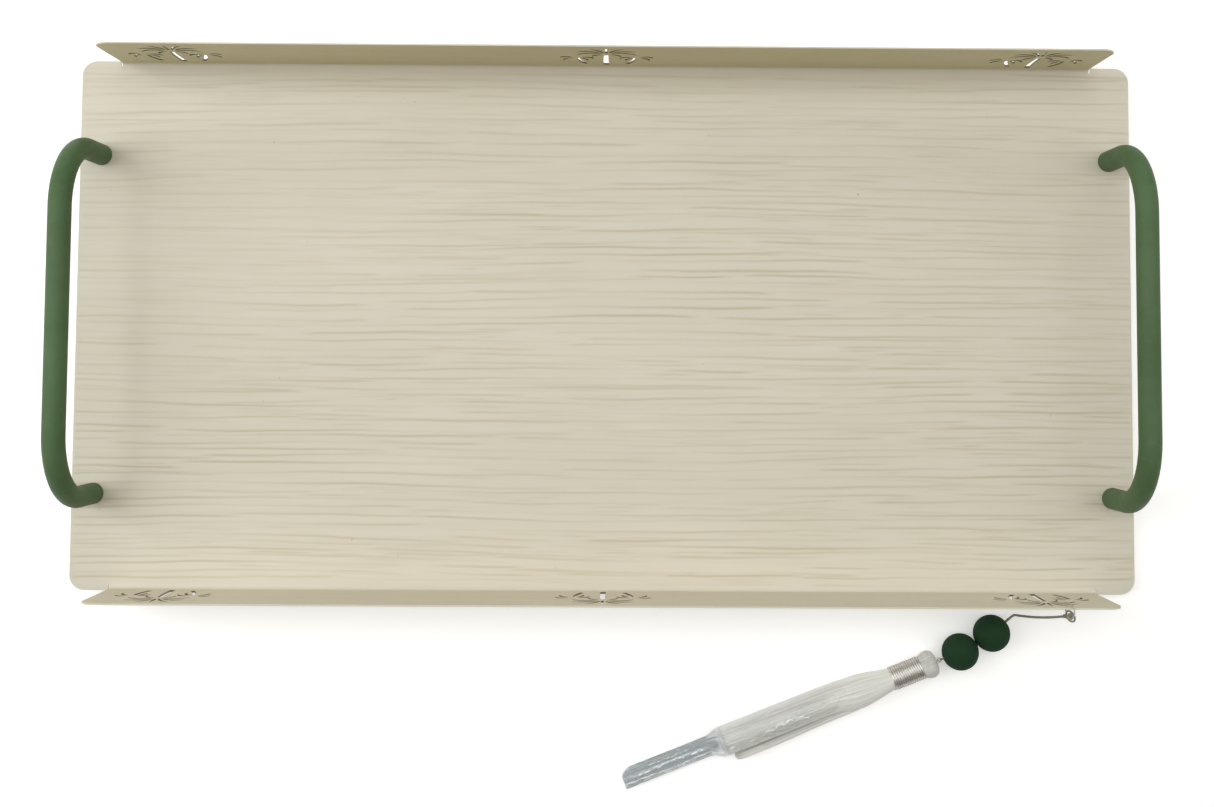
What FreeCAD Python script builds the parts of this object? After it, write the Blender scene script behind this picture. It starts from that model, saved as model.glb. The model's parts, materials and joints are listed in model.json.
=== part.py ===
import FreeCAD, Part
from math import cos, radians, sin
import os

# Serving tray of thin sheet metal. Its two long sides are folded up as low
# openwork walls, its short ends are open and carry bar handles, and a beaded
# tassel hangs on a cord from the front wall.
# Millimetres. The origin is the middle of the surface that things stand on,
# +X runs along the tray, -Y points to the side with the tassel, +Z is up.

V = FreeCAD.Vector
UP = V(0, 0, 1)

# Sheet
LENGTH = 500.0
WIDTH = 250.0
SHEET = 0.8
CORNER_R = 7.0
WALL_HEIGHT = 40.0
WALL_LENGTH = 462.0
WALL_CORNER_R = 8.0
BEND_R = 1.5
RELIEF_WIDTH = 0.6
RELIEF_DEPTH = 2.5
# how far a cutting body reaches past the sheet
OVERCUT = 2.0

# Openwork: one group of three palms at the middle of each third of a wall
MOTIF_SPACING = 200.0
CROWN_HEIGHT = 25.3
CROWN_GAP = 2.2
SIDE_CROWN = (13.8, 19.6)
FROND_WIDTH = 1.5
# direction from the crown in degrees, distance to the tip, rise of the arch
CENTRE_FRONDS = ((50, 12.4, 1.5), (15, 14.6, 2.9), (-9, 14.2, 3.1), (-40, 8.6, 1.6))
SIDE_FRONDS = ((208, 8.6, 2.0), (238, 9.0, 1.3), (-15, 8.2, 2.0), (-50, 9.4, 1.7))
# foot, top, width at the foot, width at the top, bow
SIDE_TRUNK = (V(9.6, 0, 6.0), V(13.2, 0, 17.6), 1.9, 1.5, -0.8)
LOWER_TRUNK = (V(0, 0, 4.0), V(0, 0, 23.0), 2.7, 2.0, 0.3)
UPPER_TRUNK = (V(0, 0, 27.6), V(0, 0, 35.6), 1.5, 0.5, 0.2)

# Handles and their fasteners
ROD_D = 10.0
HANDLE_PITCH = 160.0
HANDLE_INSET = 10.0
HANDLE_BEND_R = 30.0
BAR_HEIGHT = 46.5
TAP_R = 2.05
TAP_DEPTH = 12.0
SCREW_R = 2.0
SCREW_LENGTH = 12.0
SCREW_BEVEL = 0.4
SCREW_HEAD_R = 4.0
SCREW_HEAD_HEIGHT = 2.2
SCREW_RIM = 0.9
SCREW_DOME = (2.4, 1.85)
RECESS_LENGTH = 4.2
RECESS_WIDTH = 0.9
RECESS_DEPTH = 1.1
WASHER_R = 4.5
WASHER_THICKNESS = 0.8
WASHER_BORE_R = 2.15
SHEET_HOLE_R = 2.25
SEAT_R = 5.1
SEAT_DEPTH = 0.1

# Feet
FOOT_R = 6.2
FOOT_HEIGHT = 5.0
FOOT_LIP = 0.8
# radius and height above the sole: where the side ends, the rounding's middle, the sole's rim
FOOT_ROUNDING = ((5.5, 1.0), (5.15, 0.3), (4.5, 0.0))
FOOT_X = 222.0
FOOT_Y = 103.0
FLOOR_Z = -SHEET - FOOT_HEIGHT

# Cord, knot and the thread loop round the rim
THREAD_R = 0.4
LOOP_BOW_R = 2.7
LOOP_RISE = 2.3
LOOP_BELOW_TOP = 1.1
KNOT_R = 1.9
THREAD_GAP = 0.1
KNOT_Y = -WIDTH / 2 - 3.5
KNOT_Z = 36.2
NOOSE_R = 2.5
NOOSE_TUBE = 0.5
CORD_R = 0.7
CORD_LEAD = 13.5
NOOSE_NECK = 0.3

# Beads and tassel lie on the table, with their axis this far above it
STRING_Z = FLOOR_Z + 8.8
BEAD_R = 8.5
BEAD_BORE_R = 1.2
BEAD_MOUTH_R = 1.7
BEAD_MOUTH_DEPTH = 0.6
UPPER_BEAD = V(181.4, -142.5, STRING_Z)
LOWER_BEAD = V(166.69, -151.16, STRING_Z)
TASSEL_YAW = 201.5
EYE_R = 0.8
EYE_TUBE = 0.3
EYE_OFFSET = 0.8
LINK_START = 0.9
LINK_END = 3.1
TASSEL_EYE_X = 0.1

# Tassel, measured along its axis from its pivot in the thread link;
# pairs are a place along the axis and the distance out from it
HEAD_START = 0.5
HEAD_FRONT_R = 2.5
HEAD_SHOULDER = (1.6, 5.1)
HEAD_FULL = 4.5
HEAD_R = 6.4
HEAD_BACK = (6.4, 5.9)
NECK_START = 7.6
NECK_END = 23.6
NECK_R = 4.9
WRAP_R = 5.5
WRAP_GAP = 0.05
WRAP_MARGIN = 0.3
WRAP_EDGE_R = 0.4
FLARE = (29.6, 6.8)
SKIRT_R = 8.2
SKIRT_END_CHAMFER = 0.9
SKIRT_FULL = 41.0
SKIRT_END = 106.3
SLEEVE_START = 44.0
SLEEVE_TAPER = 107.0
SLEEVE_FLAT = 119.0
SLEEVE_END = 157.0
SLEEVE_R = 8.5
SLEEVE_FILM = 0.2
FLAT_HALF_WIDTH = 4.8
FLAT_HALF_HEIGHT = 2.2
FLAT_SHIFT_Y = -0.5
FLAT_SHIFT_Z = -6.2


def save(name, shape):
    shape.exportStep("parts/%s.step" % name)


def flat_dir(degrees):
    """Level unit vector at an angle from +X."""
    return V(cos(radians(degrees)), sin(radians(degrees)), 0)


def polar(centre, degrees, distance):
    """Point in the wall's plane, given as across and up."""
    return (centre[0] + distance * cos(radians(degrees)), centre[1] + distance * sin(radians(degrees)))


def wall_point(point):
    return V(point[0], 0, point[1])


def beside(start, end, offset):
    """Middle of a chord in the wall's plane, moved to its left by an offset."""
    along = (end - start).normalize()
    return (start + end) * 0.5 + V(-along.z, 0, along.x) * offset


def arc(start, middle, end):
    return Part.Arc(start, middle, end).toShape()


def frond_face(crown, degrees, reach, arch):
    """Crescent that springs from beside the crown and always arches upwards."""
    start = wall_point(polar(crown, degrees, CROWN_GAP))
    end = wall_point(polar(crown, degrees, reach))
    if start.x > end.x:
        start, end = end, start
    upper = arc(start, beside(start, end, arch + FROND_WIDTH / 2), end)
    lower = arc(end, beside(start, end, arch - FROND_WIDTH / 2), start)
    return Part.Face(Part.Wire([upper, lower]))


def trunk_face(foot, top, foot_width, top_width, bow):
    """Tapered trunk whose two sides bow to its left."""
    across = beside(foot, top, 1.0) - beside(foot, top, 0.0)
    middle_width = (foot_width + top_width) / 2
    left_foot = foot + across * (foot_width / 2)
    right_foot = foot - across * (foot_width / 2)
    left_top = top + across * (top_width / 2)
    right_top = top - across * (top_width / 2)
    left = arc(left_foot, beside(foot, top, bow + middle_width / 2), left_top)
    right = arc(right_top, beside(foot, top, bow - middle_width / 2), right_foot)
    ends = [Part.makeLine(left_top, right_top), Part.makeLine(right_foot, left_foot)]
    return Part.Face(Part.Wire([left, ends[0], right, ends[1]]))


def palm_group():
    """Faces of one motif, in the wall's plane, with its foot line at z = 0."""
    crown = (0.0, CROWN_HEIGHT)
    half = [frond_face(crown, *frond) for frond in CENTRE_FRONDS]
    half += [frond_face(SIDE_CROWN, *frond) for frond in SIDE_FRONDS]
    half.append(trunk_face(*SIDE_TRUNK))
    mirrored = [face.mirror(V(0, 0, 0), V(1, 0, 0)) for face in half]
    return half + mirrored + [trunk_face(*LOWER_TRUNK), trunk_face(*UPPER_TRUNK)]


def motif_cutters():
    """Prisms that run through both walls at each motif."""
    cutters = []
    for x in (-MOTIF_SPACING, 0.0, MOTIF_SPACING):
        for face in palm_group():
            placed = face.translated(V(x, -WIDTH / 2 - OVERCUT, 0))
            cutters.append(placed.extrude(V(0, WIDTH + 2 * OVERCUT, 0)))
    return cutters


def trough(width, bottom, radius, overlength):
    """Block as wide as the tray or its inside, with its two long lower edges rounded."""
    length = WALL_LENGTH + overlength
    block = Part.makeBox(length, width, WALL_HEIGHT + overlength - bottom, V(-length / 2, -width / 2, bottom))
    low = [e for e in block.Edges if e.BoundBox.ZMax < bottom + 0.01 and e.BoundBox.XLength > WIDTH]
    return block.makeFillet(radius, low)


def end_tabs():
    """Flat ends of the base beyond the walls, with rounded corners."""
    plate = Part.makeBox(LENGTH, WIDTH, SHEET, V(-LENGTH / 2, -WIDTH / 2, -SHEET))
    corners = [e for e in plate.Edges if e.BoundBox.ZLength > SHEET / 2]
    plate = plate.makeFillet(CORNER_R, corners)
    middle = Part.makeBox(WALL_LENGTH, WIDTH, SHEET, V(-WALL_LENGTH / 2, -WIDTH / 2, -SHEET))
    return plate.cut(middle)


def relief_cutters():
    """Notches that free each end of a fold from the flat end beside it."""
    cutters = []
    for sx in (-1, 1):
        for sy in (-1, 1):
            x = sx * (WALL_LENGTH + RELIEF_WIDTH) / 2
            y = sy * (WIDTH - RELIEF_DEPTH) / 2
            corner = V(x - RELIEF_WIDTH / 2, y - RELIEF_DEPTH / 2, -OVERCUT)
            cutters.append(Part.makeBox(RELIEF_WIDTH, RELIEF_DEPTH, 2 * OVERCUT, corner))
    return cutters


def handle_points():
    """The four places where a handle's leg stands."""
    x = LENGTH / 2 - HANDLE_INSET
    y = HANDLE_PITCH / 2
    return [V(-x, -y, 0), V(-x, y, 0), V(x, -y, 0), V(x, y, 0)]


def tray_sheet():
    channel = trough(WIDTH, -SHEET, BEND_R + SHEET, 0).cut(trough(WIDTH - 2 * SHEET, 0, BEND_R, OVERCUT))
    corners = [e for e in channel.Edges
               if e.BoundBox.ZMin > WALL_HEIGHT - 0.01 and e.BoundBox.XLength < 0.01]
    channel = channel.makeFillet(WALL_CORNER_R, corners)
    sheet = channel.fuse(end_tabs())
    holes = [Part.makeCylinder(SHEET_HOLE_R, 2 * OVERCUT, point - UP * OVERCUT) for point in handle_points()]
    seats = [Part.makeCylinder(SEAT_R, OVERCUT, point - UP * SEAT_DEPTH) for point in handle_points()]
    sheet = sheet.cut(relief_cutters() + holes + seats + motif_cutters())
    return sheet.removeSplitter()


def handle(x):
    """Round bar bent twice, with a tapped hole up each leg, let into its seats."""
    y = HANDLE_PITCH / 2
    foot_z = -SEAT_DEPTH
    shoulder = BAR_HEIGHT - HANDLE_BEND_R
    reach = HANDLE_BEND_R * (1 - cos(radians(45)))
    edges = [
        Part.makeLine(V(x, -y, foot_z), V(x, -y, shoulder)),
        arc(V(x, -y, shoulder), V(x, -y + reach, BAR_HEIGHT - reach), V(x, -y + HANDLE_BEND_R, BAR_HEIGHT)),
        Part.makeLine(V(x, -y + HANDLE_BEND_R, BAR_HEIGHT), V(x, y - HANDLE_BEND_R, BAR_HEIGHT)),
        arc(V(x, y - HANDLE_BEND_R, BAR_HEIGHT), V(x, y - reach, BAR_HEIGHT - reach), V(x, y, shoulder)),
        Part.makeLine(V(x, y, shoulder), V(x, y, foot_z)),
    ]
    section = Part.Wire(Part.makeCircle(ROD_D / 2, V(x, -y, foot_z), UP))
    bar = Part.Wire(edges).makePipeShell([section], True, False)
    taps = [Part.makeCylinder(TAP_R, TAP_DEPTH, V(x, side, foot_z)) for side in (-y, y)]
    return Part.Solid(bar.Shells[0]).cut(taps)


def spin(edges, centre, axis):
    """Solid of revolution of a closed outline."""
    return Part.Face(Part.Wire(edges)).revolve(centre, axis, 360)


def outline(points):
    """Straight edges through the points, in order."""
    return [Part.makeLine(a, b) for a, b in zip(points, points[1:])]


def centred_box(size, low, high):
    """Upright box round the Z axis."""
    return Part.makeBox(size.x, size.y, high - low, V(-size.x / 2, -size.y / 2, low))


def screw(point):
    """Dome-headed screw with a cross recess, driven up into a handle's leg."""
    tip = SCREW_LENGTH
    head_low = -SCREW_HEAD_HEIGHT
    rim = V(SCREW_HEAD_R, 0, -SCREW_RIM)
    crown = V(0, 0, head_low)
    edges = outline([crown, V(0, 0, tip), V(SCREW_R - SCREW_BEVEL, 0, tip), V(SCREW_R, 0, tip - SCREW_BEVEL),
                     V(SCREW_R, 0, 0), V(SCREW_HEAD_R, 0, 0), rim])
    edges.append(arc(rim, V(SCREW_DOME[0], 0, -SCREW_DOME[1]), crown))
    long_side = V(RECESS_LENGTH, RECESS_WIDTH, 0)
    cross_side = V(RECESS_WIDTH, RECESS_LENGTH, 0)
    recess = centred_box(long_side, head_low - OVERCUT, head_low + RECESS_DEPTH)
    recess = recess.fuse(centred_box(cross_side, head_low - OVERCUT, head_low + RECESS_DEPTH))
    body = spin(edges, V(0, 0, 0), UP).cut(recess)
    return body.translated(point - UP * (SHEET + WASHER_THICKNESS))


def washer(point):
    base = point - UP * (SHEET + WASHER_THICKNESS)
    disc = Part.makeCylinder(WASHER_R, WASHER_THICKNESS, base)
    return disc.cut(Part.makeCylinder(WASHER_BORE_R, WASHER_THICKNESS, base))


def foot(point):
    """Stick-on rubber foot with a drafted side and a rounded lower edge."""
    side_end, middle, rim = [V(radius, 0, height - FOOT_HEIGHT) for radius, height in FOOT_ROUNDING]
    sole = V(0, 0, -FOOT_HEIGHT)
    edges = outline([sole, V(0, 0, 0), V(FOOT_R, 0, 0), V(FOOT_R, 0, -FOOT_LIP), side_end])
    edges.append(arc(side_end, middle, rim))
    edges.append(Part.makeLine(rim, sole))
    return spin(edges, V(0, 0, 0), UP).translated(point - UP * SHEET)


def feet():
    spots = [V(x, y, 0) for x in (-FOOT_X, FOOT_X) for y in (-FOOT_Y, FOOT_Y)]
    return Part.makeCompound([foot(spot) for spot in spots])


def stadium(near, far, bow, normal, tube):
    """Closed loop of thread: two straight sides joined by half circles round near and far."""
    along = (far - near).normalize()
    side = normal.cross(along) * bow
    edges = [
        Part.makeLine(near + side, far + side),
        arc(far + side, far + along * bow, far - side),
        Part.makeLine(far - side, near - side),
        arc(near - side, near - along * bow, near + side),
    ]
    section = Part.Wire(Part.makeCircle(tube, near + side, along))
    return Part.Solid(Part.Wire(edges).makePipeShell([section], True, False).Shells[0])


def hang_point():
    """Middle of the frond slot that the rim thread passes through."""
    crown = (0.0, CROWN_HEIGHT)
    degrees, reach, arch = CENTRE_FRONDS[1]
    start = wall_point(polar(crown, degrees, CROWN_GAP))
    end = wall_point(polar(crown, degrees, reach))
    return beside(start, end, arch) + V(MOTIF_SPACING, 0, 0)


def rim_loop():
    slot = hang_point()
    middle_y = KNOT_Y + LOOP_BOW_R
    low = V(slot.x, middle_y, slot.z + LOOP_RISE)
    high = V(slot.x, middle_y, WALL_HEIGHT - LOOP_BELOW_TOP)
    return stadium(low, high, LOOP_BOW_R, V(1, 0, 0), THREAD_R)


def knot_centre():
    return V(hang_point().x, KNOT_Y, KNOT_Z)


def cord_knot():
    """Knot that turns on the rim thread's outer strand."""
    ball = Part.makeSphere(KNOT_R, knot_centre())
    hole = Part.makeCylinder(THREAD_R + THREAD_GAP, 4 * KNOT_R, knot_centre() - UP * 2 * KNOT_R)
    return ball.cut(hole)


def tassel_dir():
    return flat_dir(TASSEL_YAW)


def bead_mouth():
    """Where the cord leaves the upper bead and enters the lower one."""
    return LOWER_BEAD - tassel_dir() * BEAD_R


def string_exit():
    """Where the cord leaves the lower bead."""
    return LOWER_BEAD + tassel_dir() * BEAD_R


def upper_bead_dir():
    return (bead_mouth() - UPPER_BEAD).normalize()


def cord_bend():
    """Where the cord reaches the table and turns towards the beads."""
    return UPPER_BEAD - upper_bead_dir() * CORD_LEAD


def rod(start, end, radius):
    along = end - start
    return Part.makeCylinder(radius, along.Length, start, along)


def hanging_cord():
    """Cord with a noose round the knot at one end and a small eye at the other."""
    top = knot_centre()
    fall = (cord_bend() - top).normalize()
    noose_normal = fall.cross(fall.cross(UP).normalize())
    start = top + fall * (NOOSE_R + NOOSE_NECK)
    stops = [start, cord_bend(), bead_mouth(), string_exit()]
    pieces = [rod(a, b, CORD_R) for a, b in zip(stops, stops[1:])]
    pieces += [Part.makeSphere(CORD_R, stop) for stop in stops[:3]]
    pieces.append(Part.makeTorus(NOOSE_R, NOOSE_TUBE, top, noose_normal))
    eye_centre = string_exit() + tassel_dir() * EYE_OFFSET
    eye_normal = UP.cross(tassel_dir())
    pieces.append(Part.makeTorus(EYE_R, EYE_TUBE, eye_centre, eye_normal))
    return pieces[0].fuse(pieces[1:]).removeSplitter()


def bead(centre, direction):
    """Round bead with a bore along the cord and eased mouths."""
    ball = Part.makeSphere(BEAD_R, centre)
    depth = BEAD_R + 1
    bore = Part.makeCylinder(BEAD_BORE_R, 2 * depth, centre - direction * depth, direction)
    mouths = []
    for way in (-1, 1):
        base = centre + direction * way * (BEAD_R - BEAD_MOUTH_DEPTH)
        mouths.append(Part.makeCone(BEAD_BORE_R, BEAD_MOUTH_R, BEAD_MOUTH_DEPTH, base, direction * way))
    return ball.cut([bore] + mouths)


def tassel_loop():
    """Thread link between the cord's eye and the tassel's eye."""
    near = string_exit() + tassel_dir() * (LINK_START + EYE_R)
    far = string_exit() + tassel_dir() * (LINK_END - EYE_R)
    return stadium(near, far, EYE_R, UP, EYE_TUBE)


def on_tassel_axis(shape):
    """Place a shape built along +X from the tassel's pivot."""
    pivot = string_exit() + tassel_dir() * LINK_END
    shape.rotate(V(0, 0, 0), UP, TASSEL_YAW)
    shape.translate(pivot)
    return shape


def outward_point(place):
    """A pair of distances, along and out from the tassel's axis, as a point."""
    return V(place[0], 0, place[1])


def tassel_strands():
    """Hank of strands folded over its eye: head, bound neck and skirt."""
    front = outward_point((HEAD_START, HEAD_FRONT_R))
    crown = outward_point((HEAD_FULL, HEAD_R))
    neck_start = outward_point((NECK_START, NECK_R))
    neck_end = outward_point((NECK_END, NECK_R))
    full = outward_point((SKIRT_FULL, SKIRT_R))
    flare = Part.BSplineCurve()
    flare.interpolate([neck_end, outward_point(FLARE), full])
    edges = outline([V(HEAD_START, 0, 0), front])
    edges.append(arc(front, outward_point(HEAD_SHOULDER), crown))
    edges.append(arc(crown, outward_point(HEAD_BACK), neck_start))
    edges += outline([neck_start, neck_end])
    edges.append(flare.toShape())
    edges += outline([full, V(SKIRT_END - SKIRT_END_CHAMFER, 0, SKIRT_R),
                      V(SKIRT_END, 0, SKIRT_R - SKIRT_END_CHAMFER),
                      V(SKIRT_END, 0, 0), V(HEAD_START, 0, 0)])
    hank = spin(edges, V(0, 0, 0), V(1, 0, 0))
    eye = Part.makeTorus(EYE_R, EYE_TUBE, V(TASSEL_EYE_X, 0, 0), V(0, 1, 0))
    return on_tassel_axis(hank.fuse(eye))


def neck_wrap():
    """Metallic thread bound round the neck, as one ring of its outer size."""
    start = NECK_START + WRAP_MARGIN
    length = NECK_END - WRAP_MARGIN - start
    along = V(1, 0, 0)
    ring = Part.makeCylinder(WRAP_R, length, V(start, 0, 0), along)
    rims = [e for e in ring.Edges if e.Closed and e.BoundBox.XLength < 0.01]
    ring = ring.makeFillet(WRAP_EDGE_R, rims)
    return on_tassel_axis(ring.cut(Part.makeCylinder(NECK_R + WRAP_GAP, length, V(start, 0, 0), along)))


def sleeve_section(x, half_width, half_height, shift_y, shift_z):
    """Closed oval across the tassel's axis."""
    centre = V(x, shift_y, shift_z)
    tall = half_height >= half_width
    long_axis = V(0, 0, half_height) if tall else V(0, half_width, 0)
    short_axis = V(0, half_width, 0) if tall else V(0, 0, half_height)
    oval = Part.Ellipse(centre + long_axis, centre + short_axis, centre)
    return Part.Wire(oval.toShape())


def sleeve_body(inset, overrun):
    """Outer or inner form of the sleeve: round over the skirt, flat beyond it."""
    round_r = SLEEVE_R - inset
    wide = FLAT_HALF_WIDTH - inset
    high = FLAT_HALF_HEIGHT - inset
    collar = Part.makeCylinder(round_r, SLEEVE_TAPER + overrun - SLEEVE_START, V(SLEEVE_START - overrun, 0, 0),
                               V(1, 0, 0))
    circle = Part.Wire(Part.makeCircle(round_r, V(SLEEVE_TAPER, 0, 0), V(1, 0, 0)))
    first = sleeve_section(SLEEVE_FLAT, wide, high, FLAT_SHIFT_Y, FLAT_SHIFT_Z)
    last = sleeve_section(SLEEVE_END + overrun, wide, high, FLAT_SHIFT_Y, FLAT_SHIFT_Z)
    taper = Part.makeLoft([circle, first], True, True)
    tail = Part.makeLoft([first, last], True, True)
    return collar.fuse([taper, tail])


def tassel_sleeve():
    """Clear film tube, open at both ends, that pulls off over the skirt's end."""
    return on_tassel_axis(sleeve_body(0.0, 0.0).cut(sleeve_body(SLEEVE_FILM, 1.0)))


def main():
    os.makedirs("parts", exist_ok=True)
    handle_x = LENGTH / 2 - HANDLE_INSET
    save("tray_sheet", tray_sheet())
    save("handle_left", handle(-handle_x))
    save("handle_right", handle(handle_x))
    save("handle_screws", Part.makeCompound([screw(p) for p in handle_points()]))
    save("handle_washers", Part.makeCompound([washer(p) for p in handle_points()]))
    save("bumper_feet", feet())
    save("rim_loop", rim_loop())
    save("cord_knot", cord_knot())
    save("hanging_cord", hanging_cord())
    save("upper_bead", bead(UPPER_BEAD, upper_bead_dir()))
    save("lower_bead", bead(LOWER_BEAD, tassel_dir()))
    save("tassel_loop", tassel_loop())
    save("tassel_strands", tassel_strands())
    save("neck_wrap", neck_wrap())
    save("tassel_sleeve", tassel_sleeve())


main()
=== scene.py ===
import json
from math import ceil, cos, pi, radians, sin, sqrt

import bpy
import numpy as np
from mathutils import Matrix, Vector


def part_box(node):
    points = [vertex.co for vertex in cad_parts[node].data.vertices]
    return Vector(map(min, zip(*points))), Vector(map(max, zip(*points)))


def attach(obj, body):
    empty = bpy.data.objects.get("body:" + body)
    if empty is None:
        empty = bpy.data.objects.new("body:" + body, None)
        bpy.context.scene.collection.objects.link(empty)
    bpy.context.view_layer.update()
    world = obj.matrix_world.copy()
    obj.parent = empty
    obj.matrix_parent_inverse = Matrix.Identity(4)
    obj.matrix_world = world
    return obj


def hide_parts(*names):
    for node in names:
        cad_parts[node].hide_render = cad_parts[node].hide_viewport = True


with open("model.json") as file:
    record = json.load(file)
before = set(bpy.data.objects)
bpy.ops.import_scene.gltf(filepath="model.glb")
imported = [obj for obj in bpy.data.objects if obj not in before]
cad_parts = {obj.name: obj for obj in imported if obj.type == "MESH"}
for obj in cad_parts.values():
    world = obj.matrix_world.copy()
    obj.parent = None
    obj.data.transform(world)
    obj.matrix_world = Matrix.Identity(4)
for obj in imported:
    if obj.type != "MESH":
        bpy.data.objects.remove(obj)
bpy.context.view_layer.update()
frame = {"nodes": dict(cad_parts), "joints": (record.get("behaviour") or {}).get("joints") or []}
rng = np.random.default_rng(21)
TAU = 2 * pi
MM = 0.001
UP = np.array([0.0, 0.0, 1.0])
WHITE = (1, 1, 1, 1)


# ---- the frame

def corners(node):
    """Lowest and highest corner of a CAD node, in millimetres."""
    low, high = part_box(node)
    return np.array(low) / MM, np.array(high) / MM


def joint(name):
    return next(j for j in frame["joints"] if j["name"] == name)


def joint_place(name):
    return np.array(joint(name)["pos_m"]) / MM


def joint_axis(name):
    return np.array(joint(name)["axis"], float)


def unit(vector):
    return vector / np.linalg.norm(vector)


# Everything below is in millimetres until a mesh is made.
SHEET_LOW, SHEET_HIGH = corners("tray_sheet")
SHEET = -SHEET_LOW[2]
HALF_LENGTH = SHEET_HIGH[0]
HALF_WIDTH = SHEET_HIGH[1]
WALL_TOP = SHEET_HIGH[2]
FLOOR_Z = corners("bumper_feet")[0][2]

# Tray sheet
HALF_WALL = 231.0
BEND_R = 1.5
CORNER_R = 7.0
WALL_CORNER_R = 8.0
RELIEF_WIDTH = 0.6
RELIEF_DEPTH = 2.5
EDGE_ROUND = 0.15
FLAT_Y = HALF_WIDTH - SHEET - BEND_R
FOLD_LENGTH = BEND_R * pi / 2
HANDLE_X = HALF_LENGTH - 10.0
HANDLE_Y = 80.0
SEAT_R = 5.1
SEAT_DEPTH = 0.1
SCREW_HOLE_R = 2.25
# how far cutting bodies reach past the sheet, and a gap too small to see
OVERCUT = 1.0
TINY = 0.01

# Openwork palms, on the same arcs as the frame's sheet
MOTIF_SPACING = 200.0
CROWN = (0.0, 25.3)
CROWN_GAP = 2.2
SIDE_CROWN = (13.8, 19.6)
FROND_WIDTH = 1.5
# direction from the crown in degrees, distance to the tip, rise of the arch
CENTRE_FRONDS = ((50, 12.4, 1.5), (15, 14.6, 2.9), (-9, 14.2, 3.1), (-40, 8.6, 1.6))
SIDE_FRONDS = ((208, 8.6, 2.0), (238, 9.0, 1.3), (-15, 8.2, 2.0), (-50, 9.4, 1.7))
# foot, top, width at the foot, width at the top, bow
SIDE_TRUNK = ((9.6, 6.0), (13.2, 17.6), 1.9, 1.5, -0.8)
LOWER_TRUNK = ((0, 4.0), (0, 23.0), 2.7, 2.0, 0.3)
UPPER_TRUNK = ((0, 27.6), (0, 35.6), 1.5, 0.5, 0.2)

# String of beads
THREAD_R = 0.4
BEAD_R = 8.5
BORE_R = 1.2
MOUTH_R = 1.7
KNOT = joint_place("cord_lift")
UPPER_BEAD = joint_place("upper_bead_spin")
LOWER_BEAD = joint_place("lower_bead_spin")
UPPER_DIR = joint_axis("upper_bead_spin")
TASSEL_DIR = joint_axis("sleeve_slide")
TASSEL_SIDE = np.cross(TASSEL_DIR, UP)
PIVOT = joint_place("tassel_lift")
STRING_EXIT = LOWER_BEAD + TASSEL_DIR * BEAD_R
BEAD_MOUTH = LOWER_BEAD - TASSEL_DIR * BEAD_R
CORD_LEAD = 13.5
CORD_BEND = UPPER_BEAD - UPPER_DIR * CORD_LEAD
CORD_FALL = unit(CORD_BEND - KNOT)
NOOSE_R = 2.5
EYE_R = 0.8

# Tassel, along its axis from its pivot
NECK_START = 7.6
NECK_END = 23.6
NECK_R = 4.9
SKIRT_FULL = 41.0
SKIRT_END = 106.3
SLEEVE_START = 46.0
SLEEVE_END = 157.0


# ---- mesh tools

def merge(parts):
    """One vertex array and one face list from many."""
    verts, faces, base = [], [], 0
    for part_verts, part_faces in parts:
        verts.append(part_verts)
        faces += [[base + i for i in face] for face in part_faces]
        base += len(part_verts)
    return np.concatenate(verts), faces


def add_object(name, data):
    obj = bpy.data.objects.new(name, data)
    bpy.context.scene.collection.objects.link(obj)
    return obj


def make_object(name, verts, faces, sharp_degrees=None):
    """Object from millimetre vertices, smooth shaded apart from its sharp edges."""
    mesh = bpy.data.meshes.new(name)
    mesh.from_pydata((np.asarray(verts) * MM).tolist(), [], faces)
    mesh.update()
    obj = add_object(name, mesh)
    shade(obj, sharp_degrees)
    return obj


def shade(obj, sharp_degrees):
    obj.data.polygons.foreach_set("use_smooth", [True] * len(obj.data.polygons))
    if sharp_degrees:
        obj.data.set_sharp_from_angle(angle=radians(sharp_degrees))
    obj.data.update()


def grid_faces(rows, columns, wrap_rows=False, wrap_columns=False):
    """Quads between neighbouring rows and columns of a vertex grid."""
    faces = []
    for i in range(rows if wrap_rows else rows - 1):
        low, high = i * columns, ((i + 1) % rows) * columns
        for j in range(columns if wrap_columns else columns - 1):
            k = (j + 1) % columns
            faces.append([low + j, low + k, high + k, high + j])
    return faces


def end_caps(rows, columns):
    """Faces over the first and last row of a wrapped grid."""
    last = (rows - 1) * columns
    return [list(range(columns))[::-1], list(range(last, last + columns))]


def unit_rows(vectors):
    return vectors / np.linalg.norm(vectors, axis=1)[:, None]


def path_frames(path, closed, seed):
    """Two normals along a path that turn as little as possible."""
    tangent = np.roll(path, -1, 0) - np.roll(path, 1, 0)
    if not closed:
        tangent[0] = path[1] - path[0]
        tangent[-1] = path[-1] - path[-2]
    tangent = unit_rows(tangent)
    normal = np.empty_like(path)
    last = np.array(seed, float)
    for i, along in enumerate(tangent):
        last = unit(last - along * (last @ along))
        normal[i] = last
    return normal, np.cross(tangent, normal)


def tube(path, radius, sides=8, closed=False, seed=(0.3, 0.2, 1.0)):
    """Round tube along a path."""
    path = np.asarray(path, float)
    normal, binormal = path_frames(path, closed, seed)
    return sweep(path, normal, binormal, radius, sides, closed)


def sweep(path, normal, binormal, radius, sides, closed=False, flat=1.0):
    """Tube with given normals; flat scales it along the first."""
    radius = np.broadcast_to(radius, len(path))[:, None, None]
    angle = np.arange(sides)[None, :, None] * TAU / sides
    ring = flat * np.cos(angle) * normal[:, None] + np.sin(angle) * binormal[:, None]
    verts = (path[:, None] + radius * ring).reshape(-1, 3)
    faces = grid_faces(len(path), sides, wrap_rows=closed, wrap_columns=True)
    if not closed:
        faces += end_caps(len(path), sides)
    return verts, faces


def path_length(path):
    steps = np.linalg.norm(np.diff(path, axis=0), axis=1)
    return np.concatenate([[0.0], np.cumsum(steps)])


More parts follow.
